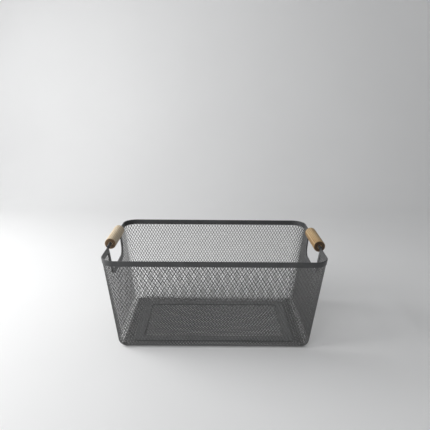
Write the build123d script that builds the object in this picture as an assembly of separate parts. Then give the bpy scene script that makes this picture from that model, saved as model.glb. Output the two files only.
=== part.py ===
from build123d import *
import os
from math import atan, atan2, ceil, cos, degrees, floor, hypot, pi, sin, tan

os.makedirs("parts", exist_ok=True)

# An open storage basket of diamond mesh with a flat steel rim and a wooden grip at each end.
# Lengths are millimetres. The basket stands on z = 0, with X along its length and -Y its front.

# Overall size
basket_length = 400.0
basket_width = 270.0
basket_height = 178.0
wall_flare = 22.0
rim_corner_radius = 28.0
base_corner_radius = 18.0
bottom_bend_radius = 12.0
straight_over_bend = 2.0

# Sheet and strip
mesh_thickness = 1.0
strip_thickness = 0.8
rim_band_height = 10.0
rim_fold_share = 0.85
edge_clearance = 0.2

# Mesh: its real pitch and strand, and how many times larger the net is drawn
gap_across = 6.0
gap_up = 10.0
strand_width = 1.1
drawn_net_scale = 3
bend_gap_count = 12
corner_gap_share = 0.35
smallest_gap_share = 0.12
shortest_gap_side = 0.5

# Base ring, set in from the foot of the walls
ring_margin_end = 25.4
ring_margin_side = 24.4
ring_strip_width = 17.5
ring_outer_corner = 8.0
ring_inner_corner = 3.0

# Hand hole and the strip folded round its edge
hand_hole_top_half = 56.0
hand_hole_bottom_half = 51.0
hand_hole_depth = 50.0
hand_hole_corner = 20.0
trim_width = 9.5

# Handle rod and wooden grip
rod_diameter = 6.0
rod_rise = 2.5
tongue_length = 14.0
tongue_height = 5.0
tongue_root = 0.5
tongue_gap = 0.6
grip_diameter = 22.0
grip_end_run = 11.0
left_slide_share = 0.8
grip_end_round = 1.6
grip_bore_clearance = 0.1
bore_mouth_chamfer = 1.2

overrun = 2.0

# The walls all lean out alike, so one angle and one horizontal thickness serve all of them
lean = atan(wall_flare / basket_height)
mesh_across = mesh_thickness / cos(lean)
strip_across = strip_thickness / cos(lean)
rim_half_length = basket_length / 2 - strip_across
rim_half_width = basket_width / 2 - strip_across
foot_half_length = rim_half_length - wall_flare
foot_half_width = rim_half_width - wall_flare


def slope(z):
    # Distance up the leaning wall that belongs to a height.
    return z / cos(lean)


# Heights, and the lines up a wall's slope at which the rim, the rod and its tongues lie
mesh_bottom = strip_thickness
bend_top = mesh_bottom + bottom_bend_radius * (1 - sin(lean)) + straight_over_bend
band_bottom = basket_height - rim_band_height * cos(lean)
rim_line = slope(basket_height)
tongue_line = rim_line - strip_thickness - edge_clearance - tongue_height / 2
rod_line = tongue_line + rod_rise
mesh_top = (tongue_line - tongue_height / 2 - tongue_gap) * cos(lean)


def height_share(z):
    return z / basket_height


def corner_radius(z):
    rim_radius = rim_corner_radius - strip_across
    return base_corner_radius + (rim_radius - base_corner_radius) * height_share(z)


def half_length(z):
    return foot_half_length + wall_flare * height_share(z)


def half_width(z):
    return foot_half_width + wall_flare * height_share(z)


def flat_half(half, z):
    # Half the flat run of a wall, between the lines where its corners begin.
    return half(z) - corner_radius(z)


def outline(z, out):
    # Plan of the basket at one height, measured out from the outer face of the mesh.
    plan = RectangleRounded(
        2 * (half_length(z) + out),
        2 * (half_width(z) + out),
        corner_radius(z) + out,
    )
    return Pos(0, 0, z) * plan


def flared_ring(z_low, z_high, out_outer, out_inner):
    outer = loft([outline(z_low, out_outer), outline(z_high, out_outer)], ruled=True)
    inner = loft([outline(z_low, out_inner), outline(z_high, out_inner)], ruled=True)
    return outer - inner


def leaning_sheet(face, foot_half, out_from, out_to):
    # A flat drawing becomes a sheet in the front wall, between two distances out from the mesh.
    plane = Plane(
        origin=(0, -(foot_half + out_from), 0),
        x_dir=(1, 0, 0),
        z_dir=(0, -cos(lean), -sin(lean)),
    )
    return extrude(plane.location * face, amount=out_to - out_from, dir=(0, -1, 0))


# Diamond net
drawn_across = gap_across * drawn_net_scale
drawn_up = gap_up * drawn_net_scale
drawn_strand = strand_width * drawn_net_scale
strand_spacing = drawn_across * drawn_up / hypot(drawn_across, drawn_up)
open_share = 1 - drawn_strand / strand_spacing
gap_half_across = drawn_across / 2 * open_share
gap_half_up = drawn_up / 2 * open_share
whole_gap_area = 2 * gap_half_across * gap_half_up
eighth_turn = atan(1)


def diamond(u, v):
    return [
        (u - gap_half_across, v),
        (u, v - gap_half_up),
        (u + gap_half_across, v),
        (u, v + gap_half_up),
    ]


def area(corners):
    pairs = zip(corners, corners[1:] + corners[:1])
    return sum(here[0] * there[1] - there[0] * here[1] for here, there in pairs) / 2


def inward(start, end, point):
    # Positive on the left of a line, which is inside a window that runs anticlockwise.
    along = (end[0] - start[0], end[1] - start[1])
    return along[0] * (point[1] - start[1]) - along[1] * (point[0] - start[0])


def clipped(corners, window):
    # What a convex window leaves of a gap.
    for start, end in zip(window, window[1:] + window[:1]):
        kept = []
        for here, there in zip(corners, corners[1:] + corners[:1]):
            here_in = inward(start, end, here)
            there_in = inward(start, end, there)
            if here_in >= 0:
                kept.append(here)
            if here_in * there_in < 0:
                share = here_in / (here_in - there_in)
                kept.append(tuple(a + (b - a) * share for a, b in zip(here, there)))
        corners = kept
    return without_short_sides(corners)


def without_short_sides(corners):
    kept = []
    for here, there in zip(corners, corners[1:] + corners[:1]):
        if hypot(there[0] - here[0], there[1] - here[1]) > shortest_gap_side:
            kept.append(here)
    return kept


def net_gaps(window):
    # The staggered gaps that show in a window, whole or cut by its sides.
    column_width = drawn_across / 2
    row_height = drawn_up / 2
    us = [corner[0] for corner in window]
    vs = [corner[1] for corner in window]
    gaps = []
    for column in range(floor(min(us) / column_width), ceil(max(us) / column_width) + 1):
        for row in range(floor(min(vs) / row_height), ceil(max(vs) / row_height) + 1):
            if (column + row) % 2:
                continue
            corners = clipped(diamond(column * column_width, row * row_height), window)
            if area(corners) > smallest_gap_share * whole_gap_area:
                gaps.append(Wire.make_polygon(corners, close=True))
    return gaps


def quadrilateral(half_low, half_high, v_low, v_high):
    return [(-half_low, v_low), (half_low, v_low), (half_high, v_high), (-half_high, v_high)]


def wall_net(half, z_low, z_high, window_low, window_high):
    # A wall's flat run between two heights, with gaps only between the window's heights.
    border = quadrilateral(flat_half(half, z_low), flat_half(half, z_high), slope(z_low), slope(z_high))
    window = quadrilateral(
        flat_half(half, window_low) - drawn_strand / 2,
        flat_half(half, window_high) - drawn_strand / 2,
        slope(window_low),
        slope(window_high),
    )
    return Face(Wire.make_polygon(border, close=True), net_gaps(window))


# Hand hole, drawn in the wall's own plane with the rim's top edge at rim_line
hole_floor = rim_line - hand_hole_depth
leg_lean = (hand_hole_top_half - hand_hole_bottom_half) / hand_hole_depth


def hole_half(v, out):
    # Half the width of the hand hole at a place up the wall, measured out from its edge.
    return hand_hole_bottom_half + leg_lean * (v - hole_floor) + out * hypot(1, leg_lean)


def hole_outline(v_top, out):
    low = hole_floor - out
    shape = Polygon(
        (-hole_half(low, out), low),
        (hole_half(low, out), low),
        (hole_half(v_top, out), v_top),
        (-hole_half(v_top, out), v_top),
        align=None,
    )
    lower_corners = shape.vertices().sort_by(Axis.Y)[:2]
    return fillet(lower_corners, hand_hole_corner + out)


# Wall nets
front_foot = foot_half_width
end_foot = foot_half_length
trim_top = slope(band_bottom)
mesh_notch = strip_thickness + edge_clearance
split_line = hole_floor - mesh_notch
split_height = split_line * cos(lean)
net_low = bend_top + drawn_strand / 2


def front_net():
    face = wall_net(half_length, bend_top, mesh_top, net_low, band_bottom)
    return leaning_sheet(face, front_foot, -mesh_across, 0)


def end_lower_net():
    face = wall_net(half_width, bend_top, split_height, net_low, split_height - drawn_strand / 2)
    return leaning_sheet(face, end_foot, -mesh_across, 0)


def end_side_net():
    # The part of an end wall between the hand hole and a corner. Under the strip it follows the
    # hole's rounded corner half way round, and then runs straight down to the lower net.
    radius = hand_hole_corner + mesh_notch
    turn_v = split_line + radius
    turn_u = hole_half(turn_v, mesh_notch)
    cut_u = turn_u - radius * (1 - cos(eighth_turn))
    cut_v = turn_v - radius * sin(eighth_turn)
    top_v = slope(mesh_top)
    corner_low = (flat_half(half_width, split_height), split_line)
    corner_high = (flat_half(half_width, mesh_top), top_v)
    top_inner = (hole_half(top_v, mesh_notch), top_v)
    border = Wire([
        Line((cut_u, cut_v), (cut_u, split_line)),
        Line((cut_u, split_line), corner_low),
        Line(corner_low, corner_high),
        Line(corner_high, top_inner),
        Line(top_inner, (turn_u, turn_v)),
        RadiusArc((turn_u, turn_v), (cut_u, cut_v), radius),
    ])
    low = split_line + drawn_strand / 2
    window = [
        (hole_half(low, mesh_notch), low),
        (flat_half(half_width, split_height) - drawn_strand / 2, low),
        (flat_half(half_width, band_bottom) - drawn_strand / 2, trim_top),
        (hole_half(trim_top, mesh_notch + drawn_strand), trim_top),
    ]
    return leaning_sheet(Face(border, net_gaps(window)), end_foot, -mesh_across, 0)


def corner_net():
    # Rounded corner of the mesh at +X, +Y, with its own staggered gaps.
    reach = rim_half_length
    squares = []
    for z in (bend_top, mesh_top):
        centre = Pos(flat_half(half_length, z) + reach / 2, flat_half(half_width, z) + reach / 2, z)
        squares.append(centre * Rectangle(reach, reach))
    sheet = flared_ring(bend_top, mesh_top, 0, -mesh_across) & loft(squares, ruled=True)
    cutters = []
    row_height = drawn_up / 2 * cos(lean)
    first_row = ceil((net_low + gap_half_up) / row_height)
    last_row = floor((band_bottom - gap_half_up) / row_height)
    for row in range(first_row, last_row + 1):
        z = row * row_height
        step = drawn_across / 2 / corner_radius(z)
        for turn in (0,) if row % 2 else (-step, step):
            cutters.append(radial_cutter(z, eighth_turn + turn))
    return sheet - cutters


def radial_cutter(z, angle):
    centre = (flat_half(half_length, z), flat_half(half_width, z), z)
    outward = (cos(angle), sin(angle), 0)
    sideways = (-sin(angle), cos(angle), 0)
    face = Face(Wire.make_polygon(diamond(0, 0), close=True))
    plane = Plane(origin=centre, x_dir=sideways, z_dir=outward)
    return extrude(plane.location * face, amount=2 * rim_corner_radius, dir=outward)


# Base ring's edges, and the joint of flange and floor under the middle of its strip
ring_outer_length = 2 * (foot_half_length - ring_margin_end)
ring_outer_width = 2 * (foot_half_width - ring_margin_side)
ring_inner_length = ring_outer_length - 2 * ring_strip_width
ring_inner_width = ring_outer_width - 2 * ring_strip_width
joint_length = ring_outer_length - ring_strip_width
joint_width = ring_outer_width - ring_strip_width
joint_corner = (ring_outer_corner + ring_inner_corner) / 2

# Bottom bend and the flange that turns in between the base rings
bend_flat_length = flat_half(half_length, bend_top)
bend_flat_width = flat_half(half_width, bend_top)
bend_start = corner_radius(bend_top)


def bend_profile():
    # Section of the bend: out from a corner's centre line, and up.
    wall_foot = bend_start - bend_top * tan(lean)
    centre_z = mesh_bottom + bottom_bend_radius
    centre_n = wall_foot + (centre_z * sin(lean) - bottom_bend_radius) / cos(lean)
    inner_radius = bottom_bend_radius - mesh_thickness
    outer_touch = (centre_n + bottom_bend_radius * cos(lean), centre_z - bottom_bend_radius * sin(lean))
    inner_touch = (centre_n + inner_radius * cos(lean), centre_z - inner_radius * sin(lean))
    inner_floor = mesh_bottom + mesh_thickness
    outer_bend = RadiusArc(outer_touch, (centre_n, mesh_bottom), bottom_bend_radius)
    inner_bend = RadiusArc(inner_touch, (centre_n, inner_floor), inner_radius)
    lines = [
        Line((bend_start, bend_top), outer_touch),
        outer_bend,
        Line((centre_n, mesh_bottom), (0, mesh_bottom)),
        Line((0, mesh_bottom), (0, inner_floor)),
        Line((0, inner_floor), (centre_n, inner_floor)),
        inner_bend,
        Line(inner_touch, (bend_start - mesh_across, bend_top)),
        Line((bend_start - mesh_across, bend_top), (bend_start, bend_top)),
    ]
    return make_face(Curve() + lines)


def bend_gap(half_across):
    # A gap through the bend round X, made to be cut outward and down from the middle of its arc.
    middle_turn = (lean + pi / 2) / 2
    half_up = bottom_bend_radius * sin((pi / 2 - lean) / 2) - strand_width
    wall_foot = bend_start - bend_top * tan(lean)
    centre_z = mesh_bottom + bottom_bend_radius
    centre_n = wall_foot + (centre_z * sin(lean) - bottom_bend_radius) / cos(lean)
    corners = [(-half_across, 0), (0, -half_up), (half_across, 0), (0, half_up)]
    face = Face(Wire.make_polygon(corners, close=True))
    plane = Plane(
        origin=(centre_n, 0, centre_z),
        x_dir=(0, 1, 0),
        z_dir=(cos(middle_turn), 0, -sin(middle_turn)),
    )
    return extrude(plane.location * face, amount=bottom_bend_radius + overrun)


def bend_gaps():
    # A row of gaps along each side of the bend, and one at each of its corners.
    pitch = 2 * bend_flat_length / bend_gap_count
    half_across = pitch / 2 - strand_width
    gap = bend_gap(half_across)
    cutters = []
    sides = ((bend_flat_length, bend_flat_width, 0), (bend_flat_width, bend_flat_length, 90))
    for reach, half_run, turn in sides:
        count = round(2 * half_run / pitch)
        for place in range(count):
            shift = (place - (count - 1) / 2) * 2 * half_run / count
            for side_turn in (turn, turn + 180):
                cutters.append(Rot(Z=side_turn) * Pos(reach, shift, 0) * gap)
    corner_gap = bend_gap(corner_gap_share * bend_start)
    for x_side, y_side in ((1, 1), (-1, 1), (-1, -1), (1, -1)):
        turn = degrees(atan2(y_side, x_side))
        place = Pos(x_side * bend_flat_length, y_side * bend_flat_width, 0)
        cutters.append(place * Rot(Z=turn) * corner_gap)
    return cutters


def bottom_bend():
    profile = Rot(X=90) * bend_profile()
    pieces = []
    corner = revolve(profile, Axis.Z, 90)
    for side in (-1, 1):
        run = extrude(profile, amount=2 * bend_flat_width, dir=(0, 1, 0))
        run = Pos(bend_flat_length, -bend_flat_width, 0) * run
        pieces.append(run if side > 0 else mirror(run, Plane.YZ))
        front = extrude(Rot(Z=90) * profile, amount=2 * bend_flat_length, dir=(1, 0, 0))
        front = Pos(-bend_flat_length, bend_flat_width, 0) * front
        pieces.append(front if side > 0 else mirror(front, Plane.XZ))
    for turn, x_side, y_side in ((0, 1, 1), (90, -1, 1), (180, -1, -1), (270, 1, -1)):
        place = Pos(x_side * bend_flat_length, y_side * bend_flat_width, 0)
        pieces.append(place * Rot(Z=turn) * corner)
    return flange() + pieces - bend_gaps()


def flange():
    # The flat margin between the bend and the middle of the base ring, with gaps outside the ring.
    opening = RectangleRounded(joint_length, joint_width, joint_corner)
    margin = Rectangle(2 * bend_flat_length, 2 * bend_flat_width)
    edge_length = bend_flat_length - drawn_strand / 2
    edge_width = bend_flat_width - drawn_strand / 2
    end_half = ring_outer_width / 2 - drawn_strand
    holes = [opening.face().outer_wire()]
    for side in (-1, 1):
        front_window = rectangle(-edge_length, edge_length, ring_outer_width / 2, edge_width, 1, side)
        end_window = rectangle(ring_outer_length / 2, edge_length, -end_half, end_half, side, 1)
        holes += net_gaps(front_window) + net_gaps(end_window)
    face = Face(margin.face().outer_wire(), holes)
    return extrude(Pos(0, 0, mesh_bottom) * face, amount=mesh_thickness, dir=(0, 0, 1))


def rectangle(x_low, x_high, y_low, y_high, x_side, y_side):
    # Corners of a rectangle, anticlockwise, turned over to the far side of an axis where asked.
    corners = [(x_low, y_low), (x_high, y_low), (x_high, y_high), (x_low, y_high)]
    corners = [(x_side * x, y_side * y) for x, y in corners]
    return corners if x_side * y_side > 0 else corners[::-1]


def floor_net():
    border = RectangleRounded(
        joint_length - 2 * edge_clearance,
        joint_width - 2 * edge_clearance,
        joint_corner - edge_clearance,
    )
    half_across = ring_inner_length / 2
    half_deep = ring_inner_width / 2
    window = quadrilateral(half_across, half_across, -half_deep, half_deep)
    face = Face(border.face().outer_wire(), net_gaps(window))
    return extrude(Pos(0, 0, mesh_bottom) * face, amount=mesh_thickness, dir=(0, 0, 1))


def base_ring(z):
    outer = RectangleRounded(ring_outer_length, ring_outer_width, ring_outer_corner)
    inner = RectangleRounded(ring_inner_length, ring_inner_width, ring_inner_corner)
    return extrude(Pos(0, 0, z) * (outer - inner), amount=strip_thickness)


# Rim band: one strip folded over the top of the mesh, cut away across each hand hole
def rim_bands():
    strip = flared_ring(band_bottom, basket_height, strip_across, -mesh_across - strip_across)
    top_edges = strip.edges().group_by(Axis.Z)[-1]
    strip = fillet(top_edges, rim_fold_share * (mesh_thickness / 2 + strip_thickness))
    fold_top = basket_height - strip_thickness
    strip = strip - flared_ring(band_bottom, fold_top, 0, -mesh_across)
    cut = Pos(0, 0, basket_height) * Box(
        basket_length + overrun,
        2 * hand_hole_top_half,
        2 * (rim_band_height + overrun),
    )
    halves = (strip - cut).solids().sort_by(Axis.Y)
    return halves[0], halves[-1]


# Strip folded round the edge of a hand hole
def hand_hole_trim():
    outer = hole_outline(trim_top, trim_width) - hole_outline(trim_top + overrun, 0)
    slot = hole_outline(trim_top + overrun, trim_width + overrun) - hole_outline(
        trim_top + 2 * overrun, strip_thickness
    )
    strip = leaning_sheet(outer, end_foot, -mesh_across - strip_across, strip_across)
    return strip - leaning_sheet(slot, end_foot, -mesh_across, 0)


# Handle rod: round across the hand hole, with a flat tongue at each end held in the rim's fold
rod_height = rod_line * cos(lean)
rod_out = half_length(rod_height) - mesh_across / 2
grip_length = 2 * (hand_hole_top_half - grip_end_run)


def handle_rod():
    bar = Pos(rod_out, 0, rod_height) * Rot(X=90) * Cylinder(rod_diameter / 2, 2 * hand_hole_top_half)
    tongues = []
    for side in (-1, 1):
        middle = side * (hand_hole_top_half + (tongue_length - tongue_root) / 2)
        face = Pos(middle, tongue_line) * Rectangle(tongue_length + tongue_root, tongue_height)
        tongues.append(Rot(Z=90) * leaning_sheet(face, end_foot, -mesh_across, 0))
    return bar + tongues


def grip():
    bore_radius = rod_diameter / 2 + grip_bore_clearance
    round_bar = Cylinder(grip_diameter / 2, grip_length)
    ends = round_bar.edges().filter_by(GeomType.CIRCLE)
    dowel = fillet(ends, grip_end_round) - Cylinder(bore_radius, grip_length)
    mouth = Cone(bore_radius + bore_mouth_chamfer, bore_radius, bore_mouth_chamfer)
    for side in (-1, 1):
        place = Pos(0, 0, side * (grip_length - bore_mouth_chamfer) / 2)
        dowel = dowel - place * Rot(X=90 + side * 90) * mouth
    return Pos(rod_out, 0, rod_height) * Rot(X=90) * dowel


def left_of(shape):
    return mirror(shape, Plane.YZ)


def rear_of(shape):
    return mirror(shape, Plane.XZ)


def across_from(shape):
    return Rot(Z=180) * shape


# All the pieces, by name
band_front, band_rear = rim_bands()
mesh_front = front_net()
mesh_right_lower = Rot(Z=90) * end_lower_net()
mesh_right_rear = Rot(Z=90) * end_side_net()
mesh_corner = corner_net()
trim_right = Rot(Z=90) * hand_hole_trim()
rod_right = handle_rod()
grip_right = grip()

pieces = {
    "rim_band_front": band_front,
    "rim_band_rear": band_rear,
    "mesh_front": mesh_front,
    "mesh_rear": rear_of(mesh_front),
    "mesh_right_lower": mesh_right_lower,
    "mesh_right_front": rear_of(mesh_right_rear),
    "mesh_right_rear": mesh_right_rear,
    "mesh_left_lower": left_of(mesh_right_lower),
    "mesh_left_front": across_from(mesh_right_rear),
    "mesh_left_rear": left_of(mesh_right_rear),
    "mesh_corner_rear_right": mesh_corner,
    "mesh_corner_front_right": rear_of(mesh_corner),
    "mesh_corner_rear_left": left_of(mesh_corner),
    "mesh_corner_front_left": across_from(mesh_corner),
    "mesh_bottom_bend": bottom_bend(),
    "mesh_floor": floor_net(),
    "base_ring_upper": base_ring(mesh_bottom + mesh_thickness),
    "base_ring_lower": base_ring(0),
    "hand_hole_trim_right": trim_right,
    "hand_hole_trim_left": left_of(trim_right),
    "handle_rod_right": rod_right,
    "handle_rod_left": left_of(rod_right),
    "grip_right": grip_right,
    "grip_left": Pos(0, left_slide_share * grip_end_run, 0) * left_of(grip_right),
}

for name, piece in pieces.items():
    export_step(piece, f"parts/{name}.step")
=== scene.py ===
import math

import bmesh
import bpy
import numpy as np
from mathutils import Matrix, Vector


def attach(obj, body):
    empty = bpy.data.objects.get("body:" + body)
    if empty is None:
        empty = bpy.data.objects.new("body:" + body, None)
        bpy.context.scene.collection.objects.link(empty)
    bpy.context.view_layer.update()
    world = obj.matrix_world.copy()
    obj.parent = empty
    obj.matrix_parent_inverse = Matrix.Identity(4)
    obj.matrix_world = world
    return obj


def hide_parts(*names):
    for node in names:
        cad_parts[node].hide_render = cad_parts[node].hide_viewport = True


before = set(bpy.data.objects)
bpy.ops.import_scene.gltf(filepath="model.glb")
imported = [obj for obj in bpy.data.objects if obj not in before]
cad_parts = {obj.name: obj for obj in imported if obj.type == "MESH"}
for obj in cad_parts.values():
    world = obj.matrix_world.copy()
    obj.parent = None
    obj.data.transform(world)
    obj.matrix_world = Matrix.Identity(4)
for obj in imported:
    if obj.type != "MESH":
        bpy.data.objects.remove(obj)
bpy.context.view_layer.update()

# Sizes of the basket in metres, as the CAD model has them
BASKET_LENGTH = 0.400
BASKET_WIDTH = 0.270
BASKET_HEIGHT = 0.178
WALL_FLARE = 0.022
RIM_CORNER_RADIUS = 0.028
BASE_CORNER_RADIUS = 0.018
BOTTOM_BEND_RADIUS = 0.012
STRAIGHT_OVER_BEND = 0.002
MESH_THICKNESS = 0.001
MESH_IN_FOLD = 0.0034
STRIP_THICKNESS = 0.0008
RIM_BAND_HEIGHT = 0.010
RING_MARGIN_END = 0.0254
RING_MARGIN_SIDE = 0.0244
RING_STRIP_WIDTH = 0.0175
EDGE_CLEARANCE = 0.0002
HAND_HOLE_TOP_HALF = 0.056
HAND_HOLE_BOTTOM_HALF = 0.051
HAND_HOLE_DEPTH = 0.050
HAND_HOLE_CORNER = 0.020
ROD_DIAMETER = 0.006
ROD_RISE = 0.0025
TONGUE_HEIGHT = 0.005
GRIP_DIAMETER = 0.022
GRIP_END_RUN = 0.011
GRIP_END_ROUND = 0.0016
GRIP_BORE_CLEARANCE = 0.0001
BORE_MOUTH_CHAMFER = 0.0012
LEFT_SLIDE = 0.0088

# The net at its real pitch, in metres and in gaps
GAP_ACROSS = 0.006
GAP_UP = 0.010
STRAND_WIDTH = 0.00092
FLOOR_STRAND_WIDTH = 0.0014
SHEET_THICKNESS = 0.0007
STRAND_TILT = 0.00015
COLUMNS_FRONT = 55
COLUMNS_END = 33
COLUMNS_CORNER = 6
FIRST_COLUMN = 0.25
FLANGE_REACH = 0.030
NET_REACH_IN_FOLD = 0.0012
TRIM_HIDES = 0.0045
NET_FROM_HOLE = 0.002
SETTLING_STEPS = 3
SETTLING_PROBE = GAP_ACROSS / 100
WELD = 1e-6
CUT_WELD = WELD / 10

# Fineness of the turned grips
GRIP_SEGMENTS = 96
ARC_STEPS = 6
SHARP_ANGLE = math.radians(30)

# Forms that follow from the sizes
LEAN = math.atan(WALL_FLARE / BASKET_HEIGHT)
STRIP_ACROSS = STRIP_THICKNESS / math.cos(LEAN)
FOOT_HALF_LENGTH = BASKET_LENGTH / 2 - STRIP_ACROSS - WALL_FLARE
FOOT_HALF_WIDTH = BASKET_WIDTH / 2 - STRIP_ACROSS - WALL_FLARE
MESH_BOTTOM = STRIP_THICKNESS
BEND_TOP = MESH_BOTTOM + BOTTOM_BEND_RADIUS * (1 - math.sin(LEAN)) + STRAIGHT_OVER_BEND
BAND_BOTTOM = BASKET_HEIGHT - RIM_BAND_HEIGHT * math.cos(LEAN)


def corner_radius(z):
    rim_radius = RIM_CORNER_RADIUS - STRIP_ACROSS
    return BASE_CORNER_RADIUS + (rim_radius - BASE_CORNER_RADIUS) * z / BASKET_HEIGHT


def half_length(z):
    return FOOT_HALF_LENGTH + WALL_FLARE * z / BASKET_HEIGHT


def half_width(z):
    return FOOT_HALF_WIDTH + WALL_FLARE * z / BASKET_HEIGHT


# Materials
def new_material(name):
    material = bpy.data.materials.new(name)
    material.use_nodes = True
    nodes = material.node_tree.nodes
    nodes.clear()
    output = nodes.new("ShaderNodeOutputMaterial")
    shader = nodes.new("ShaderNodeBsdfPrincipled")
    material.node_tree.links.new(shader.outputs[0], output.inputs[0])
    return material, nodes, material.node_tree.links, shader


def noise(nodes, links, vector, scale, detail, roughness):
    node = nodes.new("ShaderNodeTexNoise")
    node.inputs["Scale"].default_value = scale
    node.inputs["Detail"].default_value = detail
    node.inputs["Roughness"].default_value = roughness
    links.new(vector, node.inputs["Vector"])
    return node.outputs["Fac"]


def ramp(nodes, links, value, places, colours):
    """Colours over a value. A new stop starts at the middle, and then all are put in place."""
    node = nodes.new("ShaderNodeValToRGB")
    elements = node.color_ramp.elements
    while len(elements) < len(places):
        elements.new(0.5)
    for element, place, colour in zip(elements, places, colours):
        element.position = place
        element.color = (*colour, 1.0)
    links.new(value, node.inputs["Fac"])
    return node.outputs["Color"]


def calculate(nodes, links, operation, *values, clamp=False):
    """A sum, product or other function of values that are numbers or other nodes' outputs."""
    node = nodes.new("ShaderNodeMath")
    node.operation = operation
    node.use_clamp = clamp
    for socket, value in zip(node.inputs, values):
        if isinstance(value, (int, float)):
            socket.default_value = value
        else:
            links.new(value, socket)
    return node.outputs[0]


def map_range(nodes, links, value, source, target=(0.0, 1.0)):
    """The value with its source range spread over the target range, and held within it."""
    node = nodes.new("ShaderNodeMapRange")
    for socket, number in zip(node.inputs[1:5], (*source, *target)):
        socket.default_value = number
    links.new(value, node.inputs["Value"])
    return node.outputs[0]


def mix_colour(nodes, links, share, first, second):
    node = nodes.new("ShaderNodeMix")
    node.data_type = "RGBA"
    links.new(share, node.inputs["Factor"])
    for socket, value in ((node.inputs[6], first), (node.inputs[7], second)):
        if isinstance(value, tuple):
            socket.default_value = (*value, 1.0)
        else:
            links.new(value, socket)
    return node.outputs[2]


def bump(nodes, links, height, strength, distance, normal=None):
    node = nodes.new("ShaderNodeBump")
    node.inputs["Strength"].default_value = strength
    node.inputs["Distance"].default_value = distance
    links.new(height, node.inputs["Height"])
    if normal:
        links.new(normal, node.inputs["Normal"])
    return node.outputs[0]


# Paint: noises by scale per metre, places of tones and wear, and the turn that marks an edge
PAINT_CLOUD = dict(scale=38.0, detail=4.0, roughness=0.6)
PAINT_PATCH = dict(scale=160.0, detail=3.0, roughness=0.6)
PAINT_SPECK = dict(scale=900.0, detail=2.0, roughness=0.6)
PAINT_PEEL = dict(scale=1500.0, detail=2.0, roughness=0.55)
PAINT_TONE_PLACES = (0.30, 0.52, 0.76)
PATCH_RANGE = (0.42, 0.62)
PATCH_WEAR = (0.25, 1.0)
SPECK_RANGE = (0.3, 0.7)
PEEL_BUMP = dict(strength=0.2, distance=0.00012)
EDGE_SAMPLES = 4
EDGE_TURN = (0.99, 0.80)


def rounded_normal(nodes, links, radius):
    """Normal of edges as if rounded off, and a mark that is 1 along those edges."""
    bevel = nodes.new("ShaderNodeBevel")
    bevel.samples = EDGE_SAMPLES
    bevel.inputs["Radius"].default_value = radius
    flat = nodes.new("ShaderNodeNewGeometry")
    dot = nodes.new("ShaderNodeVectorMath")
    dot.operation = "DOT_PRODUCT"
    links.new(bevel.outputs[0], dot.inputs[0])
    links.new(flat.outputs["Normal"], dot.inputs[1])
    return bevel.outputs[0], map_range(nodes, links, dot.outputs["Value"], EDGE_TURN)


def steel_material(name, tones, worn, roughness, marks_edges):
    """Satin powder coat over steel: cloudy grey, orange peel, and thinner, paler paint on edges."""
    material, nodes, links, shader = new_material(name)
    place = nodes.new("ShaderNodeTexCoord").outputs["Object"]
    cloud = noise(nodes, links, place, **PAINT_CLOUD)
    grey = ramp(nodes, links, cloud, PAINT_TONE_PLACES, tones)
    if marks_edges:
        mark = nodes.new("ShaderNodeAttribute")
        mark.attribute_name = "edge"
        edge, normal = mark.outputs["Fac"], None
    else:
        normal, edge = rounded_normal(nodes, links, STRIP_THICKNESS / 2)
    patch = noise(nodes, links, place, **PAINT_PATCH)
    patch = map_range(nodes, links, patch, PATCH_RANGE, PATCH_WEAR)
    wear = calculate(nodes, links, "MULTIPLY", edge, patch, clamp=True)
    links.new(mix_colour(nodes, links, wear, grey, worn), shader.inputs["Base Color"])
    speck = noise(nodes, links, place, **PAINT_SPECK)
    links.new(map_range(nodes, links, speck, SPECK_RANGE, roughness), shader.inputs["Roughness"])
    peel = noise(nodes, links, place, **PAINT_PEEL)
    links.new(bump(nodes, links, peel, **PEEL_BUMP, normal=normal), shader.inputs["Normal"])
    return material


# Wood: noises by scale per metre, growth rings, shares in the grain, and places of tones
GRAIN_STRETCH = (1.0, 0.06, 1.0)
WANDER_NOISE = dict(scale=70.0, detail=3.0, roughness=0.55)
FIBRE_NOISE = dict(scale=1300.0, detail=4.0, roughness=0.65)
BROAD_NOISE = dict(scale=190.0, detail=2.0, roughness=0.5)
GROWTH_RING = 0.0026
RING_WANDER = 0.006
RING_CONTRAST = 2.0
PITH_X = -0.165
PITH_Z = 0.150
RING_SHARE = 0.34
FIBRE_SHARE = 0.34
BROAD_SHARE = 0.40
SIDE_TONE_PLACES = (0.30, 0.46, 0.60, 0.80)
END_TONE_PLACES = (0.30, 0.55, 0.80)
END_FACING = (0.86, 0.97)
FIBRE_RANGE = (0.3, 0.7)
WOOD_ROUGHNESS = (0.46, 0.62)
GRAIN_BUMP = dict(strength=0.3, distance=0.00015)


def growth_rings(nodes, links, place, wander):
    """Bands from 0 to 1 round a pith line beside and under the left grip. The line lies outside
    the bar that a grip is turned from, so its rings cross the grip as curves."""
    split = nodes.new("ShaderNodeSeparateXYZ")
    links.new(place, split.inputs[0])
    squares = []
    for axis, pith in (("X", PITH_X), ("Z", PITH_Z)):
        away = calculate(nodes, links, "SUBTRACT", split.outputs[axis], pith)
        squares.append(calculate(nodes, links, "MULTIPLY", away, away))
    distance = calculate(nodes, links, "SQRT", calculate(nodes, links, "ADD", *squares))
    wander = calculate(nodes, links, "MULTIPLY", wander, RING_WANDER)
    distance = calculate(nodes, links, "ADD", distance, wander)
    turns = calculate(nodes, links, "MULTIPLY", distance, 2 * math.pi / GROWTH_RING)
    bands = map_range(nodes, links, calculate(nodes, links, "SINE", turns), (-1.0, 1.0))
    return calculate(nodes, links, "POWER", bands, RING_CONTRAST)


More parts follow.
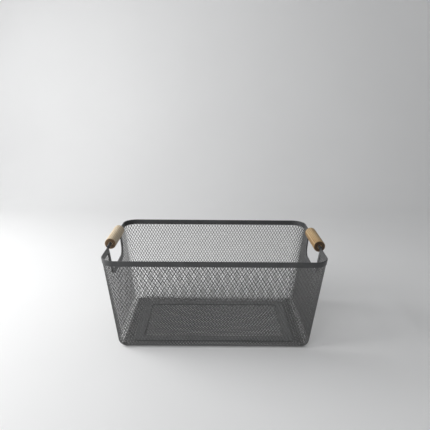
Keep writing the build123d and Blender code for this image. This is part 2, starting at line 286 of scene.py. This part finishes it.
def wood_material(name, side_tones, end_tones):
    """Hardwood turned along its grain: growth rings cut lengthwise, fibres, and dark end grain; the
    tones given carry painted light and painted shade.
    """
    material, nodes, links, shader = new_material(name)
    coordinates = nodes.new("ShaderNodeTexCoord")
    place = coordinates.outputs["Object"]
    stretch = nodes.new("ShaderNodeMapping")
    stretch.inputs["Scale"].default_value = GRAIN_STRETCH
    links.new(place, stretch.inputs["Vector"])
    wander, fibre, broad = [noise(nodes, links, stretch.outputs["Vector"], **values)
                            for values in (WANDER_NOISE, FIBRE_NOISE, BROAD_NOISE)]
    rings = growth_rings(nodes, links, place, wander)
    grain = calculate(nodes, links, "MULTIPLY", rings, RING_SHARE)
    for part, share in ((fibre, FIBRE_SHARE), (broad, BROAD_SHARE)):
        part = calculate(nodes, links, "MULTIPLY", part, share)
        grain = calculate(nodes, links, "ADD", grain, part)
    side = ramp(nodes, links, grain, SIDE_TONE_PLACES, side_tones)
    end = ramp(nodes, links, grain, END_TONE_PLACES, end_tones)
    facing = nodes.new("ShaderNodeSeparateXYZ")
    links.new(coordinates.outputs["Normal"], facing.inputs[0])
    endways = calculate(nodes, links, "ABSOLUTE", facing.outputs["Y"])
    endways = map_range(nodes, links, endways, END_FACING)
    links.new(mix_colour(nodes, links, endways, side, end), shader.inputs["Base Color"])
    rough = map_range(nodes, links, fibre, FIBRE_RANGE, WOOD_ROUGHNESS)
    links.new(rough, shader.inputs["Roughness"])
    links.new(bump(nodes, links, grain, **GRAIN_BUMP), shader.inputs["Normal"])
    return material


STEEL = steel_material(
    "powder_coated_strip",
    tones=((0.051, 0.052, 0.054), (0.060, 0.061, 0.063), (0.073, 0.074, 0.075)),
    worn=(0.13, 0.13, 0.13), roughness=(0.30, 0.42), marks_edges=False)
# The base ring's strips: the same powder coat as the strips above, with its tones painted lighter
# as painted light, for the window's light and the backdrop's sheen on their upward faces.
RING_STEEL_PAINTED_LIGHT = steel_material(
    "powder_coated_ring_painted_light",
    tones=((0.106, 0.108, 0.109), (0.128, 0.130, 0.131), (0.152, 0.154, 0.154)),
    worn=(0.15, 0.15, 0.15), roughness=(0.36, 0.50), marks_edges=False)
# The net: the same powder coat as the strips, with its tones painted lighter as painted light, for
# the light that its tilted strands catch.
NET_STEEL_PAINTED_LIGHT = steel_material(
    "powder_coated_net_painted_light",
    tones=((0.073, 0.074, 0.076), (0.089, 0.090, 0.091), (0.107, 0.107, 0.107)),
    worn=(0.15, 0.15, 0.148), roughness=(0.36, 0.50), marks_edges=True)
# Lit and shaded copies of one wood: the left grip's side tones are painted lighter as painted
# light, the right grip's darker as painted shade. The end tones are dark end grain darkened further
# with painted shade, most on the right grip.
LEFT_WOOD_PAINTED_LIGHT = wood_material(
    "turned_wood_left_painted_light",
    side_tones=((0.74, 0.63, 0.47), (0.67, 0.55, 0.385), (0.57, 0.44, 0.28), (0.42, 0.295, 0.16)),
    end_tones=((0.19, 0.120, 0.060), (0.13, 0.075, 0.035), (0.08, 0.043, 0.019)))
RIGHT_WOOD_PAINTED_SHADE = wood_material(
    "turned_wood_right_painted_shade",
    side_tones=((0.56, 0.40, 0.205), (0.455, 0.305, 0.14), (0.355, 0.215, 0.092),
                (0.26, 0.14, 0.054)),
    end_tones=((0.10, 0.057, 0.028), (0.066, 0.036, 0.017), (0.04, 0.021, 0.010)))


# Wrapped sheet

# Its sides run anticlockwise from the front, with a corner after each straight one. A column counts
# gaps along them, a run is a distance down from the net's top, and v is a height along the slope.
SIDES = ("front", "corner_front_right", "right", "corner_rear_right",
         "rear", "corner_rear_left", "left", "corner_front_left")
ENDS = ("right", "left")
OUTWARD = np.array([(0, -1), (1, 0), (0, 1), (-1, 0)], dtype=float)
ALONG = np.array([(1, 0), (0, 1), (-1, 0), (0, -1)], dtype=float)
COUNTS = np.array([COLUMNS_FRONT, COLUMNS_CORNER, COLUMNS_END, COLUMNS_CORNER] * 2)
STARTS = np.concatenate([[0], np.cumsum(COUNTS)])
TOTAL_COLUMNS = int(STARTS[-1])

NET_TOP_V = BAND_BOTTOM / math.cos(LEAN) + NET_REACH_IN_FOLD
BEND_V = (MESH_BOTTOM + BOTTOM_BEND_RADIUS) / math.cos(LEAN) - BOTTOM_BEND_RADIUS * math.tan(LEAN)
BEND_MIDDLE = BOTTOM_BEND_RADIUS - MESH_THICKNESS / 2
BEND_TURN = math.pi / 2 - LEAN
WALL_RUN = NET_TOP_V - BEND_V
BEND_END = WALL_RUN + BEND_MIDDLE * BEND_TURN
BEND_ROWS = round(BEND_END / GAP_UP)
ROW_PITCH = BEND_END / BEND_ROWS
FLANGE_BEGIN = BEND_END + ROW_PITCH / 2
FLANGE_ROWS = math.ceil(FLANGE_REACH / ROW_PITCH)
TOP_RUN = NET_REACH_IN_FOLD - MESH_IN_FOLD


def section(run):
    """Section of the sheet's middle layer at distances down from its top: height, distance out
    from the foot of the walls, and the outward and upward parts of the normal."""
    turn = np.clip((run - WALL_RUN) / BEND_MIDDLE, 0, BEND_TURN)
    angle = -LEAN - turn
    normal = np.stack([np.cos(angle), np.sin(angle)])
    centre_z = MESH_BOTTOM + BOTTOM_BEND_RADIUS
    centre_out = (centre_z * math.sin(LEAN) - BOTTOM_BEND_RADIUS) / math.cos(LEAN)
    up_wall = np.maximum(WALL_RUN - run, 0)
    inwards = np.maximum(run - BEND_END, 0)
    z = centre_z + BEND_MIDDLE * normal[1] + up_wall * math.cos(LEAN)
    out = centre_out + BEND_MIDDLE * normal[0] + up_wall * math.sin(LEAN) - inwards
    return z, out, normal


def wrapped(column, run, lift):
    """Points of the wrapped sheet, lifted outwards off its middle layer."""
    z, out, normal = section(run)
    level = np.maximum(z, BEND_TOP)
    radius = corner_radius(level)
    flat_x = half_length(level) - radius
    flat_y = half_width(level) - radius
    reach = FOOT_HALF_LENGTH + out - flat_x + lift * normal[0]
    column = column % TOTAL_COLUMNS
    side = np.minimum(np.searchsorted(STARTS, column, side="right") - 1, len(SIDES) - 1)
    share = (column - STARTS[side]) / COUNTS[side]
    corner = side % 2 == 1
    outward, along = OUTWARD[side // 2], ALONG[side // 2]
    turn = np.where(corner, share * math.pi / 2, 0)[..., None]
    place = np.where(corner, 1, 2 * share - 1)[..., None]
    flat = np.stack([flat_x, flat_y], axis=-1) * (outward + place * along)
    direction = np.cos(turn) * outward + np.sin(turn) * along
    plan = flat + direction * reach[..., None]
    return np.concatenate([plan, (z + lift * normal[1])[..., None]], axis=-1)


def hole_distance(y, v):
    """Distance of places on an end wall from its hand hole's edge, negative within the hole."""
    lean = (HAND_HOLE_TOP_HALF - HAND_HOLE_BOTTOM_HALF) / HAND_HOLE_DEPTH
    floor_v = BASKET_HEIGHT / math.cos(LEAN) - HAND_HOLE_DEPTH
    leg = (np.abs(y) - HAND_HOLE_BOTTOM_HALF - lean * (v - floor_v)) / math.hypot(1, lean)
    low = floor_v - v
    inner_leg, inner_low = leg + HAND_HOLE_CORNER, low + HAND_HOLE_CORNER
    rounded = np.hypot(np.maximum(inner_leg, 0), np.maximum(inner_low, 0)) - HAND_HOLE_CORNER
    return np.where((inner_leg > 0) & (inner_low > 0), rounded, np.maximum(leg, low))


# Cells of a net

# A cell's ring of places in parts of a pitch, round from its left, and how the tilt raises each.
# Its layers run from front to back, each with whether it is a gap's edge, and its height.
RING = np.array([(-0.5, 0), (-0.25, -0.25), (0, -0.5), (0.25, -0.25),
                 (0.5, 0), (0.25, 0.25), (0, 0.5), (-0.25, 0.25)])
RAISED = np.array([-1, -1, 0, 1, 1, 1, 0, -1])
HALF_SHEET = SHEET_THICKNESS / 2
LAYERS = ((False, HALF_SHEET), (True, HALF_SHEET), (True, -HALF_SHEET), (False, -HALF_SHEET))
STRAND_SPACING = GAP_ACROSS * GAP_UP / math.hypot(GAP_ACROSS, GAP_UP)
WALL_OPEN = 1 - STRAND_WIDTH / STRAND_SPACING
FLOOR_OPEN = 1 - FLOOR_STRAND_WIDTH / STRAND_SPACING


def staggered(rows, columns):
    """Columns and rows, in whole pitches, of every second place of a grid of half pitches."""
    row, column = np.meshgrid(rows, columns, indexing="ij")
    kept = (row + column) % 2 == 0
    return column[kept] / 2, row[kept] / 2


def cell_places(columns, runs, across_pitch, up_pitch, shares):
    """For cells given by their middles and how open they are: the places of their points, the
    heights, and edge marks."""
    across, up, lift, edge = [], [], [], []
    shape = (len(columns), len(RING))
    for gap_edge, height in LAYERS:
        share = shares[:, None] if gap_edge else 1
        across.append(columns[:, None] + RING[:, 0] * share * across_pitch)
        up.append(runs[:, None] + RING[:, 1] * share * up_pitch)
        lift.append(np.broadcast_to(height + gap_edge * STRAND_TILT * RAISED, shape))
        edge.append(np.full(shape, float(gap_edge)))
    return [np.stack(values, axis=1) for values in (across, up, lift, edge)]


def cell_faces(cells):
    """Quads between the layers of each cell, from its front over its gap's edge to its back."""
    size = len(RING)
    first = np.arange(cells)[:, None, None] * len(LAYERS) * size
    layer = np.arange(len(LAYERS) - 1)[None, :, None] * size
    here = np.arange(size)[None, None, :]
    there = (here + 1) % size
    low = first + layer
    quads = [low + here, low + there, low + there + size, low + here + size]
    return np.stack(quads, axis=-1).reshape(-1, 4)


def add_piece(name, mesh, material, body, nodes):
    """A mesh as a piece of the scene that rides on a body and replaces CAD nodes."""
    mesh.materials.append(material)
    piece = bpy.data.objects.new(name, mesh)
    bpy.context.scene.collection.objects.link(piece)
    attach(piece, body)
    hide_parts(*nodes)


def make_net(name, places, edge, nodes, planes=()):
    """A net from its cells' points, cut by planes given as a point and the normal of what goes."""
    mesh = bpy.data.meshes.new(name)
    mesh.from_pydata(places.reshape(-1, 3).tolist(), [], cell_faces(len(places)).tolist())
    marks = mesh.attributes.new("edge", "FLOAT", "POINT")
    marks.data.foreach_set("value", edge.ravel())
    edit = bmesh.new()
    edit.from_mesh(mesh)
    bmesh.ops.remove_doubles(edit, verts=edit.verts, dist=WELD)
    for point, normal in planes:
        geometry = edit.verts[:] + edit.edges[:] + edit.faces[:]
        made = bmesh.ops.bisect_plane(edit, geom=geometry, dist=CUT_WELD, plane_co=point,
                                      plane_no=normal, clear_outer=True)
        cut = [e for e in made["geom_cut"] if isinstance(e, bmesh.types.BMEdge) and e.is_boundary]
        bmesh.ops.holes_fill(edit, edges=cut, sides=0)
    bmesh.ops.recalc_face_normals(edit, faces=edit.faces)
    for face in edit.faces:
        face.smooth = True
    edit.to_mesh(mesh)
    edit.free()
    add_piece(name, mesh, NET_STEEL_PAINTED_LIGHT, "basket", nodes)


# Middles of all the wrapped sheet's cells, which begin a quarter of a gap from the front's left
# end, and the side that each is on
sheet_rows = np.arange(2 * (BEND_ROWS + FLANGE_ROWS) + 1)
all_columns, all_runs = staggered(sheet_rows, np.arange(2 * TOTAL_COLUMNS))
all_columns = all_columns + FIRST_COLUMN
all_runs = all_runs * ROW_PITCH
all_sides = np.searchsorted(STARTS, all_columns, side="right") - 1
on_wall = all_runs <= NET_TOP_V - BEND_TOP / math.cos(LEAN)


def sheet_places(columns, runs):
    """Points of cells of the wrapped sheet. Its top ends where the mesh ends in the rim's fold,
    and its gaps close up from the middle of the bend to its end."""
    closing = ((WALL_RUN + BEND_END) / 2, BEND_END)
    opens = np.interp(runs, closing, (WALL_OPEN, FLOOR_OPEN))
    column, run, lift, edge = cell_places(columns, runs, 1, ROW_PITCH, opens)
    return column, np.maximum(run, TOP_RUN), lift, edge


def sheet_net(name, chosen, nodes):
    """A piece of the wrapped sheet's walls or bend, whose flat part stays within its side."""
    column, run, lift, edge = sheet_places(all_columns[chosen], all_runs[chosen])
    side = all_sides[chosen][:, None, None]
    within = np.clip(column, STARTS[side], STARTS[side + 1])
    column = np.where(run > BEND_END, within, column)
    make_net(name, wrapped(column, run, lift), edge, nodes)


def end_net(part):
    """An end wall's net, kept clear of its hand hole under the folded strip: the cells well within
    the wall are kept, and points of theirs that reach too near the hole are pushed away."""
    chosen = on_wall & (all_sides == SIDES.index(part))
    columns, runs = all_columns[chosen], all_runs[chosen]
    middle = wrapped(columns, runs, np.zeros(len(columns)))
    kept = hole_distance(middle[:, 1], NET_TOP_V - runs) > TRIM_HIDES
    column, run, lift, edge = sheet_places(columns[kept], runs[kept])
    for _ in range(SETTLING_STEPS):
        y = wrapped(column, run, lift)[..., 1]
        y_beside = wrapped(column + SETTLING_PROBE / GAP_ACROSS, run, lift)[..., 1]
        now = hole_distance(y, NET_TOP_V - run)
        beside = hole_distance(y_beside, NET_TOP_V - run)
        below = hole_distance(y, NET_TOP_V - run - SETTLING_PROBE)
        away = np.maximum(NET_FROM_HOLE - now, 0)
        column = column + away * (beside - now) / SETTLING_PROBE / GAP_ACROSS
        run = run + away * (below - now) / SETTLING_PROBE
    nodes = [f"mesh_{part}_{place}" for place in ("lower", "front", "rear")]
    make_net(f"net_{part}", wrapped(column, run, lift), edge, nodes)


def bottom_net():
    """The bend round the foot of the walls, down to the first row of the flange."""
    sheet_net("net_bottom_bend", ~on_wall & (all_runs < FLANGE_BEGIN), ["mesh_bottom_bend"])


for side, part in enumerate(SIDES):
    if part not in ENDS:
        sheet_net(f"net_{part}", on_wall & (all_sides == side), [f"mesh_{part}"])
for part in ENDS:
    end_net(part)
bottom_net()


# Flange and floor, which meet between the base ring's two strips
RING_HALF_LENGTH = FOOT_HALF_LENGTH - RING_MARGIN_END - RING_STRIP_WIDTH / 2
RING_HALF_WIDTH = FOOT_HALF_WIDTH - RING_MARGIN_SIDE - RING_STRIP_WIDTH / 2
MITRE_HALF_LENGTH = half_length(BEND_TOP) - corner_radius(BEND_TOP)
MITRE_HALF_WIDTH = half_width(BEND_TOP) - corner_radius(BEND_TOP)


def flange_net(part):
    """One side of the flange, from the bend to the middle of the ring's strip, with mitred ends."""
    side = SIDES.index(part)
    chosen = (all_sides == side) & (all_runs >= FLANGE_BEGIN)
    column, run, lift, edge = sheet_places(all_columns[chosen], all_runs[chosen])
    places = wrapped(np.clip(column, STARTS[side], STARTS[side + 1]), run, lift)
    outward, along = OUTWARD[side // 2], ALONG[side // 2]
    reach = abs(outward[0]) * RING_HALF_LENGTH + abs(outward[1]) * RING_HALF_WIDTH
    planes = [((*(outward * reach), 0), (*-outward, 0))]
    for turn in (-1, 1):
        corner = (outward + turn * along) * (MITRE_HALF_LENGTH, MITRE_HALF_WIDTH)
        planes.append(((*corner, 0), (*(turn * along - outward), 0)))
    make_net(f"net_flange_{part}", places, edge, ["mesh_bottom_bend"], planes)


def floor_net():
    """Net inside the base ring, with its edges hidden between the ring's two strips."""
    length = RING_HALF_LENGTH - EDGE_CLEARANCE
    width = RING_HALF_WIDTH - EDGE_CLEARANCE
    row_reach = math.ceil(2 * width / GAP_UP) + 1
    column_reach = math.ceil(2 * length / GAP_ACROSS) + 1
    columns, rows = staggered(np.arange(-row_reach, row_reach + 1),
                              np.arange(-column_reach, column_reach + 1))
    opens = np.full(len(columns), FLOOR_OPEN)
    x, y, lift, edge = cell_places(columns * GAP_ACROSS, rows * GAP_UP, GAP_ACROSS, GAP_UP, opens)
    places = np.stack([x, y, lift + MESH_BOTTOM + MESH_THICKNESS / 2], axis=-1)
    planes = []
    for turn in (-1, 1):
        planes.append(((turn * length, 0, 0), (turn, 0, 0)))
        planes.append(((0, turn * width, 0), (0, turn, 0)))
    make_net("net_floor", places, edge, ["mesh_floor"], planes)


for part in SIDES[::2]:
    flange_net(part)
floor_net()


# Wooden grips
GRIP_LENGTH = 2 * (HAND_HOLE_TOP_HALF - GRIP_END_RUN)
TONGUE_TOP_V = BASKET_HEIGHT / math.cos(LEAN) - STRIP_THICKNESS - EDGE_CLEARANCE
ROD_HEIGHT = (TONGUE_TOP_V - TONGUE_HEIGHT / 2 + ROD_RISE) * math.cos(LEAN)
ROD_OUT = half_length(ROD_HEIGHT) - MESH_THICKNESS / 2 / math.cos(LEAN)


def arc(centre, radius, start, end):
    """Places on an arc in the plane of radius and length."""
    turns = np.linspace(start, end, ARC_STEPS + 1)
    return [(centre[0] + radius * math.cos(t), centre[1] + radius * math.sin(t)) for t in turns]


def turned_grip(side, node, slide, wood):
    """A dowel turned with rounded ends and bored through, with a chamfer at the bore's mouths."""
    x = side * ROD_OUT
    half = GRIP_LENGTH / 2
    bore = ROD_DIAMETER / 2 + GRIP_BORE_CLEARANCE
    shoulder = (GRIP_DIAMETER / 2 - GRIP_END_ROUND, half - GRIP_END_ROUND)
    far_end = arc(shoulder, GRIP_END_ROUND, 0, math.pi / 2)
    far_end += [(bore + BORE_MOUTH_CHAMFER, half), (bore, half - BORE_MOUTH_CHAMFER)]
    profile = far_end + [(radius, -length) for radius, length in reversed(far_end)]
    edit = bmesh.new()
    rings = []
    for step in range(GRIP_SEGMENTS):
        turn = 2 * math.pi * step / GRIP_SEGMENTS
        across, up = math.cos(turn), math.sin(turn)
        places = [(x + radius * across, slide + length, ROD_HEIGHT + radius * up)
                  for radius, length in profile]
        rings.append([edit.verts.new(place) for place in places])
    for step, ring in enumerate(rings):
        following = rings[(step + 1) % GRIP_SEGMENTS]
        for k in range(len(profile)):
            n = (k + 1) % len(profile)
            face = edit.faces.new((ring[k], ring[n], following[n], following[k]))
            face.smooth = True
    bmesh.ops.recalc_face_normals(edit, faces=edit.faces)
    for edge in edit.edges:
        edge.smooth = edge.calc_face_angle(0) < SHARP_ANGLE
    name = f"turned_{node}"
    mesh = bpy.data.meshes.new(name)
    edit.to_mesh(mesh)
    edit.free()
    add_piece(name, mesh, wood, node, [node])


turned_grip(-1, "grip_left", LEFT_SLIDE, LEFT_WOOD_PAINTED_LIGHT)
turned_grip(1, "grip_right", 0, RIGHT_WOOD_PAINTED_SHADE)

# The strips, rings and rods keep the CAD model's own shapes, and take their material here
for node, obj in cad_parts.items():
    obj.data.materials.clear()
    if node.startswith("grip"):
        obj.data.materials.append(LEFT_WOOD_PAINTED_LIGHT)
    elif node.startswith("base_ring"):
        obj.data.materials.append(RING_STEEL_PAINTED_LIGHT)
    else:
        obj.data.materials.append(STEEL)


# Stage: a floor that curves up into a backdrop, in metres
STAGE_HALF_WIDTH = 7.0
STAGE_FRONT = -6.0
STAGE_TURN_BEGIN = 0.9
STAGE_TURN_RADIUS = 0.35
STAGE_TURN_STEPS = 12
STAGE_HEIGHT = 5.0
STAGE_GREY = 0.89
STAGE_SHADE = 0.97
STAGE_TONES = ((STAGE_GREY * STAGE_SHADE,) * 3, (STAGE_GREY,) * 3)
STAGE_TONE_PLACES = (0.3, 0.7)
STAGE_CLOUD = dict(scale=2.0, detail=3.0, roughness=0.5)
STAGE_ROUGHNESS = 0.9
STAGE_SPECULAR = 0.2


def stage_material():
    material, nodes, links, shader = new_material("pale_backdrop")
    place = nodes.new("ShaderNodeTexCoord").outputs["Object"]
    cloud = noise(nodes, links, place, **STAGE_CLOUD)
    tone = ramp(nodes, links, cloud, STAGE_TONE_PLACES, STAGE_TONES)
    links.new(tone, shader.inputs["Base Color"])
    shader.inputs["Roughness"].default_value = STAGE_ROUGHNESS
    shader.inputs["Specular IOR Level"].default_value = STAGE_SPECULAR
    return material


def sweep():
    """Floor and backdrop in one sheet, curved where they meet."""
    profile = [(STAGE_FRONT, 0.0), (STAGE_TURN_BEGIN, 0.0)]
    for k in range(1, STAGE_TURN_STEPS + 1):
        angle = math.pi / 2 * k / STAGE_TURN_STEPS
        profile.append((STAGE_TURN_BEGIN + STAGE_TURN_RADIUS * math.sin(angle),
                        STAGE_TURN_RADIUS * (1 - math.cos(angle))))
    profile.append((STAGE_TURN_BEGIN + STAGE_TURN_RADIUS, STAGE_HEIGHT))
    points = [(x, y, z) for y, z in profile for x in (-STAGE_HALF_WIDTH, STAGE_HALF_WIDTH)]
    faces = [(2 * k, 2 * k + 1, 2 * k + 3, 2 * k + 2) for k in range(len(profile) - 1)]
    mesh = bpy.data.meshes.new("sweep")
    mesh.from_pydata(points, [], faces)
    for face in mesh.polygons:
        face.use_smooth = True
    mesh.materials.append(stage_material())
    obj = bpy.data.objects.new("sweep", mesh)
    bpy.context.scene.collection.objects.link(obj)


sweep()


# Light: soft lamps at the left and the front left, in metres and watts, and a dim white room
LAMP_TARGET = Vector((0.0, 0.0, 0.05))
WORLD_COLOUR = (0.96, 0.98, 1.0, 1.0)
WORLD_STRENGTH = 0.23


def area_light(name, place, size, power):
    light = bpy.data.lights.new(name, "AREA")
    light.shape = "RECTANGLE"
    light.size, light.size_y = size
    light.energy = power
    obj = bpy.data.objects.new(name, light)
    obj.location = place
    obj.rotation_euler = (LAMP_TARGET - Vector(place)).to_track_quat("-Z", "Y").to_euler()
    bpy.context.scene.collection.objects.link(obj)


area_light("window", place=(-1.15, -0.05, 0.85), size=(1.4, 0.7), power=17.0)
area_light("fill", place=(-0.9, -2.0, 1.8), size=(1.4, 1.4), power=12.6)

scene = bpy.context.scene
scene.view_settings.view_transform = "Standard"
scene.world = bpy.data.worlds.new("studio")
scene.world.use_nodes = True
background = scene.world.node_tree.nodes["Background"]
background.inputs["Color"].default_value = WORLD_COLOUR
background.inputs["Strength"].default_value = WORLD_STRENGTH

# Camera, fitted to the corners of the basket in the photograph: metres, degrees and pixels
CAMERA_PLACE = (-0.0029, -0.9241, 0.4741)
CAMERA_AIM_LEFT = -0.223
CAMERA_AIM_DOWN = 15.065
CAMERA_ROLL = 0.464
FOCAL_PIXELS = 490.1
FRAME_PIXELS = 430
SENSOR_WIDTH = 36.0

camera_data = bpy.data.cameras.new("camera")
camera_data.sensor_width = SENSOR_WIDTH
camera_data.lens = FOCAL_PIXELS / FRAME_PIXELS * SENSOR_WIDTH
camera = bpy.data.objects.new("camera", camera_data)
aim = (Matrix.Rotation(math.radians(CAMERA_AIM_LEFT), 4, "Z")
       @ Matrix.Rotation(math.radians(90 - CAMERA_AIM_DOWN), 4, "X")
       @ Matrix.Rotation(math.radians(CAMERA_ROLL), 4, "Z"))
camera.matrix_world = Matrix.Translation(CAMERA_PLACE) @ aim
scene.collection.objects.link(camera)
scene.camera = camera
